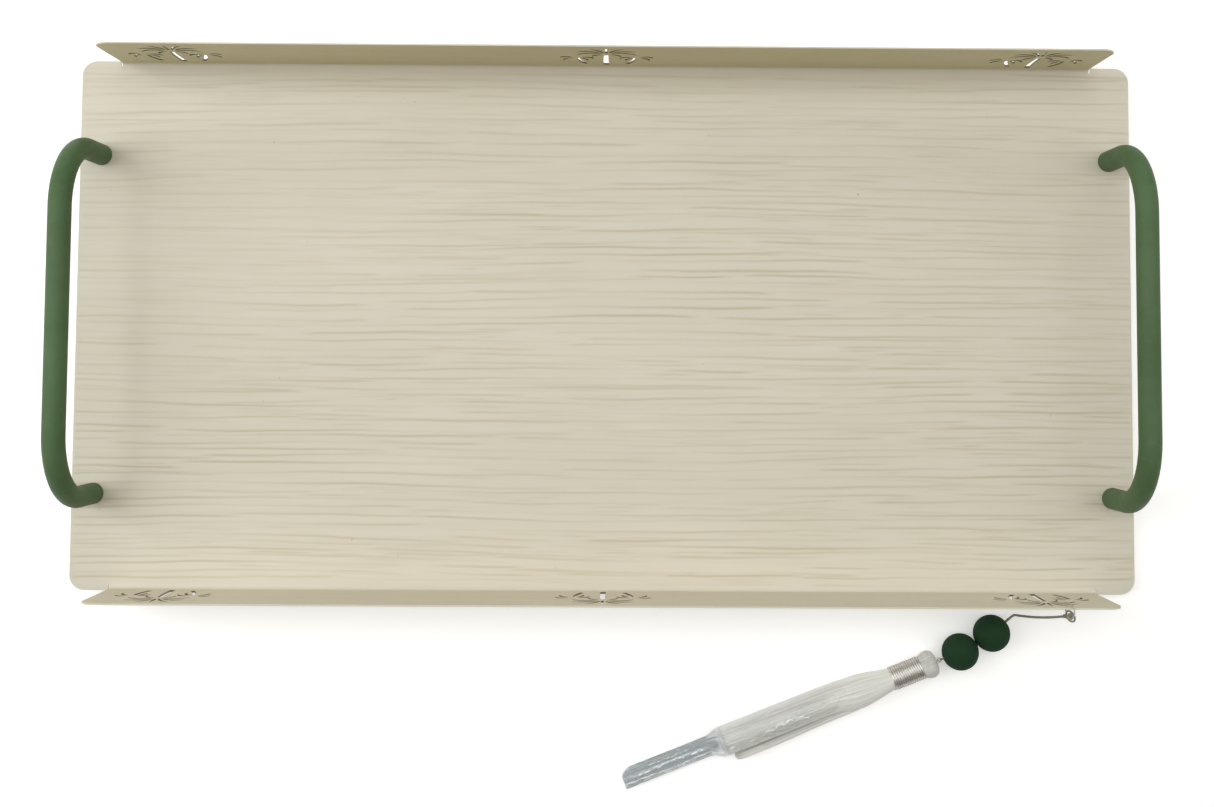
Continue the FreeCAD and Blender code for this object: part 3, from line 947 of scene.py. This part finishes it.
def build_rim_loop(material):
    low, high = corners("rim_loop")
    radius = (high[1] - low[1]) / 2 - THREAD_R
    middle = (low + high) / 2
    bottom = np.array([middle[0], middle[1], low[2] + radius + THREAD_R])
    top = np.array([middle[0], middle[1], high[2] - radius - THREAD_R])
    path = stadium_path(bottom, top, radius, np.array([0.0, 1.0, 0.0]), 34)
    thread = twisted(path, ply_radius=0.23, offset=0.17, plies=2, pitch=1.3, closed=True, seed=(1, 0, 0))
    obj = make_object("rim_loop_thread", *thread)
    stand_for(obj, "tray", "rim_loop", material)


def build_knot(material):
    """Cord wound three times round, with four waves, into a ball on the rim thread."""
    angle = np.linspace(0, TAU, 300, endpoint=False)
    swing = 0.95 * np.sin(4 * angle)
    out = 1.18 * np.cos(0.75 * swing) + 0.12 * np.cos(8 * angle)
    path = np.stack([out * np.cos(3 * angle), out * np.sin(3 * angle), swing], 1) + KNOT
    winding = twisted(path, ply_radius=0.24, offset=0.17, plies=2, pitch=1.5, closed=True, seed=(0, 0, 1))
    obj = make_object("cord_knot_wound", *winding)
    stand_for(obj, "knot", "cord_knot", material)


def cord_path():
    """From the noose down to the table, through both beads."""
    start = KNOT + CORD_FALL * NOOSE_R
    down = np.linspace(0, 1, 24)[:, None]
    slack = np.sin(pi * down) * np.array([0.0, -0.9, -0.4])
    hanging = start + (CORD_BEND - start) * down + slack
    stops = np.vstack([hanging, BEAD_MOUTH, STRING_EXIT + TASSEL_DIR * 0.1])
    return resample(stops, 0.3, rounds=8)


def thread_eye(centre):
    """Upright eye of thread that the link runs through."""
    ring = ring_path(centre, EYE_R, TASSEL_DIR, UP, 40)
    return twisted(ring, ply_radius=0.16, offset=0.12, plies=2, pitch=1.0, closed=True, seed=TASSEL_SIDE)


def build_cord(material):
    """Three-ply cord with a noose round the knot, a whipping below it and an eye at its end."""
    level = joint_axis("cord_lift")
    noose = ring_path(KNOT, NOOSE_R, CORD_FALL, level, 90)
    parts = [
        twisted(cord_path(), ply_radius=0.33, offset=0.29, plies=3, pitch=5.2, sides=8),
        twisted(noose, ply_radius=0.27, offset=0.2, plies=2, pitch=1.6, closed=True,
                seed=np.cross(CORD_FALL, level)),
        thread_eye(STRING_EXIT + TASSEL_DIR * EYE_R),
        whipping(KNOT + CORD_FALL * (NOOSE_R + 0.75), CORD_FALL, radius=0.72, thread=0.2, turns=5,
                 pitch=0.34)]
    obj = make_object("hanging_cord_twisted", *merge(parts))
    stand_for(obj, "cord", "hanging_cord", material)


def whipping(centre, axis, radius, thread, turns, pitch):
    """Short coil bound round a cord."""
    first = unit(np.cross(axis, (0.3, 1.0, 0.2)))
    second = np.cross(axis, first)
    angle = np.linspace(0, TAU * turns, 20 * turns)[:, None]
    along = axis * pitch * (angle / TAU - turns / 2)
    path = centre + along + radius * (np.cos(angle) * first + np.sin(angle) * second)
    return tube(path, thread, 8, seed=axis)


def bead_profile():
    """Half section of a bead: bore, eased mouths and ball."""
    mouth = sqrt(BEAD_R ** 2 - MOUTH_R ** 2)
    bore = [(x, BORE_R) for x in np.linspace(mouth - 0.7, 0.7 - mouth, 5)]
    eased = [(0.22 - mouth, BORE_R + 0.12), (0.02 - mouth, MOUTH_R - 0.16)]
    start = np.arcsin(MOUTH_R / BEAD_R)
    ball = [(-BEAD_R * cos(a), BEAD_R * sin(a)) for a in np.linspace(start, pi - start, 49)]
    return bore + eased + ball + [(-x, r) for x, r in eased[::-1]]


def build_bead(name, node, centre, direction, material):
    """A bead; its body has its node's name."""
    verts, faces = lathe(bead_profile(), centre, direction, 72)
    obj = make_object(name, verts, [face[::-1] for face in faces], 50)
    stand_for(obj, node, node, material)


def build_link(material):
    """Twisted thread from the cord's eye to the tassel's."""
    near, far = STRING_EXIT + TASSEL_DIR * 1.7, STRING_EXIT + TASSEL_DIR * 2.3
    path = stadium_path(near, far, 0.8, TASSEL_SIDE, 16)
    thread = twisted(path, ply_radius=0.17, offset=0.12, plies=2, pitch=0.9, closed=True, seed=(0, 0, 1))
    obj = make_object("tassel_loop_thread", *thread)
    stand_for(obj, "link", "tassel_loop", material)


# ---- tassel

def on_axis(along, side, high):
    """Row frame points for places along, beside and above the tassel's axis."""
    along, side, high = np.broadcast_arrays(along, side, high)
    return PIVOT + along[..., None] * TASSEL_DIR - side[..., None] * TASSEL_SIDE + high[..., None] * UP


def ease(value, low, high):
    share = np.clip((value - low) / (high - low), 0, 1)
    return share * share * (3 - 2 * share)


# A bundle's middle beside and above the axis, then half its width and height: the skirt pressed by
# the film, the skirt on its own, and the lock beside the film
HANK_SHAPE = (-1.7, -0.75, 6.3, 7.0)
FREE_SHAPE = (-0.3, -0.4, 7.4, 7.3)
LOCK_SHAPE = (6.45, -4.3, 2.05, 3.9)
LOCK_SPREAD = 1.2
# Places along and out from the axis, from the front's middle over the head to the neck
HEAD_CURVE = ((1.5, 0.75), (0.85, 1.3), (0.65, 2.4), (0.8, 3.7), (1.35, 4.9), (2.3, 5.75),
              (3.5, 6.15), (4.9, 6.1), (6.3, 5.75), (7.5, 5.2), (8.6, 4.7))
HEAD_SAMPLES = 15
HEAD_STRANDS = 124
SKIRT_STRANDS = 84
LOCK_STRANDS = 140
GOLDEN_ANGLE = TAU * 0.381966
CORE_SHARE = 0.93
CORE_INSET = 0.35
CORE_SIDES = 40


def hank_section(along):
    """Middle and half sizes of the hank: round at the neck, pressed by the film further on."""
    flare = ease(along, NECK_END - 2, SKIRT_FULL) ** 0.7
    press = ease(along, SKIRT_FULL - 2, SLEEVE_START + 8)
    neck_shape = (0, 0, NECK_R - 0.3, NECK_R - 0.3)
    free = [neck + (full - neck) * flare for neck, full in zip(neck_shape, FREE_SHAPE)]
    return [a + (b - a) * press for a, b in zip(free, HANK_SHAPE)]


def head_curve(samples):
    """Even points along the head's half section."""
    knots = np.array(HEAD_CURVE)
    steps = path_length(knots)
    places = np.linspace(0, steps[-1], samples)
    return np.interp(places, steps, knots[:, 0]), np.interp(places, steps, knots[:, 1])


def strand(angle, inset, thickness, end, from_head):
    """One strand of floss on the hank's surface; some start in the head, the rest in the neck."""
    phase = rng.uniform(0, TAU, 3)
    t = np.linspace(NECK_END - 1 if from_head else NECK_END - 4, end, 30)
    loose = ease(t, NECK_END, SKIRT_FULL)
    turned = angle + loose * (0.014 * np.sin(t / 9 + phase[0]) + 0.008 * np.sin(t / 3.7 + phase[1]))
    lift = 1 - inset + loose * 0.014 * np.sin(t / 6 + phase[2])
    side, high, half_width, half_height = hank_section(t)
    points = on_axis(t, side + half_width * lift * np.cos(turned),
                     high + half_height * lift * np.sin(turned))
    radius = thickness * (0.75 + 0.25 * loose)
    if from_head:
        head_t, head_r = head_curve(HEAD_SAMPLES)
        wave = 0.022 * np.sin(np.linspace(0, 9, HEAD_SAMPLES) + phase[0]) * np.linspace(0.2, 1, HEAD_SAMPLES)
        head = on_axis(head_t, head_r * np.cos(angle + wave), head_r * np.sin(angle + wave))
        points = np.vstack([head, points])
        radius = np.concatenate([thickness * np.clip(head_r / 5.8, 0.12, 1), radius])
    return tube(points, radius, 6, seed=(0, 0, 1))


def surface_strands():
    """The strands from the head, and a layer just under them from the neck."""
    settings = []
    for k in range(HEAD_STRANDS):
        angle = TAU * (k + rng.uniform(-0.18, 0.18)) / HEAD_STRANDS
        settings.append((angle, 0.0, 0.25, SKIRT_END + rng.uniform(-1.3, 0.5), True))
    for k in range(SKIRT_STRANDS):
        angle = TAU * (k + rng.uniform(-0.3, 0.3)) / SKIRT_STRANDS
        settings.append((angle, 0.07, 0.27, SKIRT_END + rng.uniform(-1.2, 0.5), False))
    return [strand(*each) for each in settings]


def cut_end_strands():
    """Short lengths that fill the skirt's cut end."""
    parts = []
    side, high, half_width, half_height = hank_section(SKIRT_END)
    for ring, share in enumerate(np.linspace(0.86, 0.06, 12)):
        count = int(6 + 66 * share)
        for k in range(count):
            angle = TAU * (k + 0.5 * (ring % 2) + rng.uniform(-0.2, 0.2)) / count
            end = SKIRT_END + rng.uniform(-1.4, 0.3)
            places = np.linspace(SKIRT_END - 9, end, 4)
            spot = on_axis(places, side + share * half_width * cos(angle),
                           high + share * half_height * sin(angle))
            parts.append(tube(spot, 0.27, 5))
    return parts


def lock_strands():
    """The lock that slipped out beside the film: it leaves the neck's side and hangs free."""
    parts = []
    middle_side, middle_high, half_width, half_height = LOCK_SHAPE
    for k in range(LOCK_STRANDS):
        angle = GOLDEN_ANGLE * k
        spread = sqrt((k + 0.5) / LOCK_STRANDS)
        end = SKIRT_END - 2.6 + rng.uniform(-1.0, 0.8) - 1.2 * spread
        t = np.linspace(NECK_END - 2, end, 30)
        part = ease(t, NECK_END, SLEEVE_START)
        gather = spread * (1 - 0.2 * ease(t, end - 3, end))
        sway = 0.1 * np.sin(t / 8 + rng.uniform(0, TAU)) * part
        root = radians(-25) + 0.45 * cos(angle)
        root_side, root_high = (NECK_R - 0.8) * cos(root), (NECK_R - 0.8) * sin(root)
        out = middle_side + LOCK_SPREAD * ease(t, SLEEVE_START, end) + gather * half_width * cos(angle)
        side = root_side + (out - root_side) * part
        high = root_high + (middle_high + gather * half_height * sin(angle) - root_high) * part
        parts.append(tube(on_axis(t, side + sway, high), 0.26, 5))
    return parts


def hank_core():
    """Solid middle that keeps light from passing between the strands."""
    head_t, head_r = head_curve(12)
    skirt_t = np.linspace(NECK_START + 1, SKIRT_END - 2.2, 40)
    angle = np.arange(CORE_SIDES) * TAU / CORE_SIDES
    rings = [on_axis(t + CORE_INSET, (r - CORE_INSET) * np.cos(angle), (r - CORE_INSET) * np.sin(angle))
             for t, r in zip(head_t[2:], head_r[2:])]
    rings += [on_axis(t, y + CORE_SHARE * w * np.cos(angle), z + CORE_SHARE * h * np.sin(angle))
              for t, y, z, w, h in zip(skirt_t, *hank_section(skirt_t))]
    faces = grid_faces(len(rings), CORE_SIDES, wrap_columns=True) + end_caps(len(rings), CORE_SIDES)
    return np.concatenate(rings), faces


def strand_shade(verts):
    """How pale a strand is: each one differs, and the head's strands are greyer."""
    t = (verts - PIVOT) @ TASSEL_DIR
    own = rng.uniform()
    return 0.4 * own + (0.5 + 0.1 * own) * ease(t, NECK_START, NECK_END)


def build_tassel(material):
    parts = [hank_core(), thread_eye(PIVOT + TASSEL_DIR * 0.1)]
    parts += surface_strands() + cut_end_strands() + lock_strands()
    shades = np.concatenate([strand_shade(verts) for verts, _ in parts])
    obj = make_object("tassel_strands_floss", *merge(parts))
    write_attribute(obj, "strand", shades)
    stand_for(obj, "tassel", "tassel_strands", material)


def build_neck_wrap(material):
    """Close turns of flat metallic thread on a thin backing tube."""
    turns = 14
    start, end = NECK_START + 0.75, NECK_END - 0.6
    low, high = NECK_R - 0.05, NECK_R + 0.2
    angle = np.linspace(0, TAU * turns, 44 * turns)
    along = np.linspace(start, end, len(angle)) + 0.05 * np.sin(angle * 0.37)
    out = high + 0.04 * np.sin(angle * 0.21)
    path = on_axis(along, out * np.cos(angle), out * np.sin(angle))
    outward = unit_rows(path - on_axis(along, 0, 0))
    tangent = unit_rows(np.gradient(path, axis=0))
    thread = sweep(path, outward, np.cross(tangent, outward), 0.5, 12, flat=0.8)
    backing = lathe([(start, low), (start, high), (end, high), (end, low)], PIVOT, TASSEL_DIR, 48)
    obj = make_object("neck_wrap_thread", *merge([thread, backing]), 50)
    stand_for(obj, "tassel", "neck_wrap", material)


# ---- film sleeve

FILM = 0.06
FILM_GAP = 0.42
FILM_STEPS = 240
FILM_AROUND = 120
TABLE_GAP = 0.12
# How much of the film's tint shows at its mouth and over the skirt, and how soon it grows
MOUTH_VEIL = 0.08
THIN_VEIL = 0.28
VEIL_GROWTH = 26
# The flat tail, as a bundle's shape, and where the film has narrowed to it
TAIL_SHAPE = (-0.5, -6.5, 4.6, 1.9)
NARROWED = 114.5
# Where each sharp fold with its painted glint runs: angle round the film, width, wriggle, start and end
FOLDS = ((1.2, 0.035, 0.04, 100, 157), (0.95, 0.025, 0.03, 118, 150), (1.95, 0.025, 0.03, 121, 146),
         (0.62, 0.035, 0.03, 108, 156), (1.6, 0.025, 0.03, 112, 155), (0.8, 0.025, 0.04, 110, 139),
         (1.36, 0.03, 0.11, 62, 90), (1.5, 0.02, 0.16, 66, 84), (0.95, 0.03, 0.14, 90, 107))
# Waves of three layers of crumple: phase, slope along the film and count round it
WAVES = rng.uniform(0, TAU, (3, 12))
WAVE_RATES = rng.uniform(-1, 1, (3, 12))
WAVE_COUNTS = rng.integers(2, 17, (3, 12))


def film_section(along):
    """Middle and half sizes of the film, over the skirt and down to the flat tail."""
    flat = ease(along, SKIRT_END + 0.3, NARROWED)
    side, high, half_width, half_height = HANK_SHAPE
    over = (side, high, half_width + FILM_GAP, half_height + FILM_GAP)
    return [a + (b - a) * flat for a, b in zip(over, TAIL_SHAPE)]


def film_end(angle):
    """The tail is cut aslant and rounded towards the tray."""
    return SLEEVE_END - 0.2 - 5.5 * np.clip(-np.cos(angle), 0, 1) ** 2.2


def crease_lines(t, angle):
    """Sharp broken folds that run along the film, from 0 to 1: ridges that also carry painted white glints.
    """
    marks = np.zeros(np.broadcast(t, angle).shape)
    for home, width, wriggle, start, end in FOLDS:
        line = home + wriggle * (np.sin(t / 5.3 + home * 9) + 0.8 * np.sin(t / 0.9 + home * 5))
        fade = ease(t, start, start + 4) * (1 - ease(t, end - 4, end))
        broken = 0.45 + 0.55 * (np.sin(t / 1.4 + home * 30) > -0.4)
        marks = np.maximum(marks, np.exp(-((angle - line) / width) ** 2) * fade * broken)
    return marks


def film_waves(t, angle, layer, rate):
    waves = zip(WAVES[layer], WAVE_RATES[layer], WAVE_COUNTS[layer])
    return sum(np.sin(t * slope * rate + angle * count + phase) for phase, slope, count in waves) / sqrt(12)


def film_wrinkles(t, angle, tail):
    """Sharp-ridged crumples over the skirt, long soft folds along the tail."""
    crumple = 1 - np.abs(film_waves(t, angle, 0, 0.9))
    fine = 1 - np.abs(film_waves(t, angle, 1, 2.2))
    over_skirt = 0.16 * np.clip(crumple, -0.5, 1) + 0.08 * np.clip(fine, -0.5, 1)
    return over_skirt * (1 - 0.4 * tail) + 0.22 * film_waves(t, angle, 2, 0.12) * tail


def film_veil(t, tail):
    """How much of the film's tint shows: least at its open mouth, all of it along the tail."""
    thin = MOUTH_VEIL + (THIN_VEIL - MOUTH_VEIL) * ease(t, SLEEVE_START, SLEEVE_START + VEIL_GROWTH)
    return thin + (1 - thin) * tail


def film_surface(inset):
    """Points of the film's skin, with the strength of its folds and their painted glints, and of its tint.
    """
    angle = np.arange(FILM_AROUND)[None, :] * TAU / FILM_AROUND
    share = np.linspace(0, 1, FILM_STEPS)[:, None]
    t = SLEEVE_START + 0.6 * np.sin(2 * angle + 1) * (1 - share) + share * (film_end(angle) - SLEEVE_START)
    side, high, half_width, half_height = film_section(t)
    tail = ease(t, SKIRT_END - 0.5, SKIRT_END + 3.5)
    wrinkle = film_wrinkles(t, angle, tail)
    marks = crease_lines(t, angle)
    out_w = half_width - inset + wrinkle * (1 - 0.3 * tail)
    out_h = half_height - inset + wrinkle + 0.45 * marks
    cosine, sine = np.cos(angle), np.sin(angle)
    y = side + out_w * np.sign(cosine) * np.abs(cosine) ** (1 - 0.35 * tail)
    z = high + out_h * np.sign(sine) * np.abs(sine) ** (1 + 0.1 * tail)
    lowest = FLOOR_Z - PIVOT[2] + TABLE_GAP + inset
    return on_axis(t, y, np.maximum(z, lowest)), marks, film_veil(t, tail)


def build_sleeve(material):
    """Outer and inner skin, joined round the mouth and round the tail's end."""
    points, marks, veil = (np.stack(layers) for layers in zip(film_surface(0.0), film_surface(FILM)))
    count = FILM_STEPS * FILM_AROUND
    faces = [face[::-1] for face in grid_faces(FILM_STEPS, FILM_AROUND, wrap_columns=True)]
    faces += [[count + i for i in face[::-1]] for face in faces]
    last = count - FILM_AROUND
    for j in range(FILM_AROUND):
        k = (j + 1) % FILM_AROUND
        faces.append([j, k, count + k, count + j])
        faces.append([last + k, last + j, count + last + j, count + last + k])
    obj = make_object("tassel_sleeve_film", points.reshape(-1, 3), faces)
    write_attribute(obj, "crease", marks.ravel())
    write_attribute(obj, "veil", veil.ravel())
    stand_for(obj, "sleeve", "tassel_sleeve", material)


# ---- stage

FLOOR_HALF = 3000.0
FLOOR_GAP = 0.02
DAYLIGHT = (0.97, 0.987, 1.0)
# Name, place, what it faces, size in metres and power of each soft box
SOFT_BOXES = (("left_box", (-1.05, 0.15, 0.85), (-0.1, 0, 0), (0.9, 1.2), 9.5),
              ("right_box", (1.1, 0.1, 0.85), (0.15, 0, 0), (0.8, 1.1), 3.7),
              ("top_box", (0.0, 0.25, 1.5), (0, 0, 0), (1.8, 1.0), 9.6),
              ("back_box", (0.0, 1.25, 0.7), (0, 0, 0), (1.6, 0.5), 3.2))
FILL_COLOR, FILL_STRENGTH = (1.0, 0.91, 0.68, 1), 0.17
BACKDROP = (0.96, 0.96, 0.96, 1)
CAMERA_PLACE = (0.00572, -0.01845, 0.64184)
CAMERA_DEGREES = (2.964, -0.420, 0.334)
LENS = 40.18
LENS_SHIFT = (-0.0164, -0.0895)


def build_floor():
    z = FLOOR_Z - FLOOR_GAP
    verts = [(x * FLOOR_HALF, y * FLOOR_HALF, z) for x, y in ((-1, -1), (1, -1), (1, 1), (-1, 1))]
    floor = make_object("floor", verts, [[0, 1, 2, 3]])
    floor.data.materials.append(floor_paint())


def build_lights():
    """Soft boxes to both sides, behind and overhead."""
    for name, place, target, size, power in SOFT_BOXES:
        data = bpy.data.lights.new(name, "AREA")
        data.shape = "RECTANGLE"
        data.size, data.size_y = size
        data.energy = power
        data.color = DAYLIGHT
        light = add_object(name, data)
        light.location = place
        light.rotation_euler = (Vector(target) - Vector(place)).to_track_quat("-Z", "Y").to_euler()


def build_world():
    """Warm fill from all round, seen by the camera as a plain white backdrop."""
    s = Shader("studio", bpy.data.worlds, "OutputWorld")
    fill = s.node("Background", Color=FILL_COLOR, Strength=FILL_STRENGTH).outputs[0]
    backdrop = s.node("Background", Color=BACKDROP).outputs[0]
    seen = s.node("LightPath").outputs["Is Camera Ray"]
    bpy.context.scene.world = s.finish(s.layer(seen, fill, backdrop))


def build_camera():
    """Looks almost straight down on the tray."""
    data = bpy.data.cameras.new("camera")
    data.sensor_width = 36.0
    data.lens = LENS
    data.shift_x, data.shift_y = LENS_SHIFT
    data.clip_start = 0.01
    camera = add_object("camera", data)
    camera.location = CAMERA_PLACE
    camera.rotation_euler = [radians(angle) for angle in CAMERA_DEGREES]
    bpy.context.scene.camera = camera
    bpy.context.scene.view_settings.view_transform = "Standard"


# ---- the whole scene

def build_object():
    beads, green, steel = bead_plastic(), green_coating(), zinc_steel()
    build_sheet(cream_coating())
    # CAD nodes that stay
    for node, slot, material in (("handle_left", "green_coating", green),
                                 ("handle_right", "green_coating", green),
                                 ("handle_screws", "zinc_steel", steel),
                                 ("handle_washers", "zinc_steel", steel),
                                 ("bumper_feet", "foot_rubber", foot_rubber())):
        coat(frame["nodes"][node], material)
    build_rim_loop(glitter_thread())
    build_knot(yarn("knot_yarn", rgb(150, 142, 118), rgb(190, 184, 164), 0.6, 0.2, 0.2))
    # the cord's grey tones are painted shade: it hangs in shadow, darker than the pale link thread
    build_cord(yarn("cord_yarn", rgb(112, 110, 98), rgb(150, 148, 136), 0.75, 0.0, 0.2))
    build_bead("upper_bead_matt", "upper_bead", UPPER_BEAD, UPPER_DIR, beads)
    build_bead("lower_bead_matt", "lower_bead", LOWER_BEAD, TASSEL_DIR, beads)
    build_link(yarn("link_thread", rgb(196, 188, 160), rgb(240, 236, 220), 0.4, 0.3, 0.1))
    build_tassel(tassel_silk())
    build_neck_wrap(wrap_thread())
    build_sleeve(clear_film())


build_object()
build_floor()
build_lights()
build_world()
build_camera()
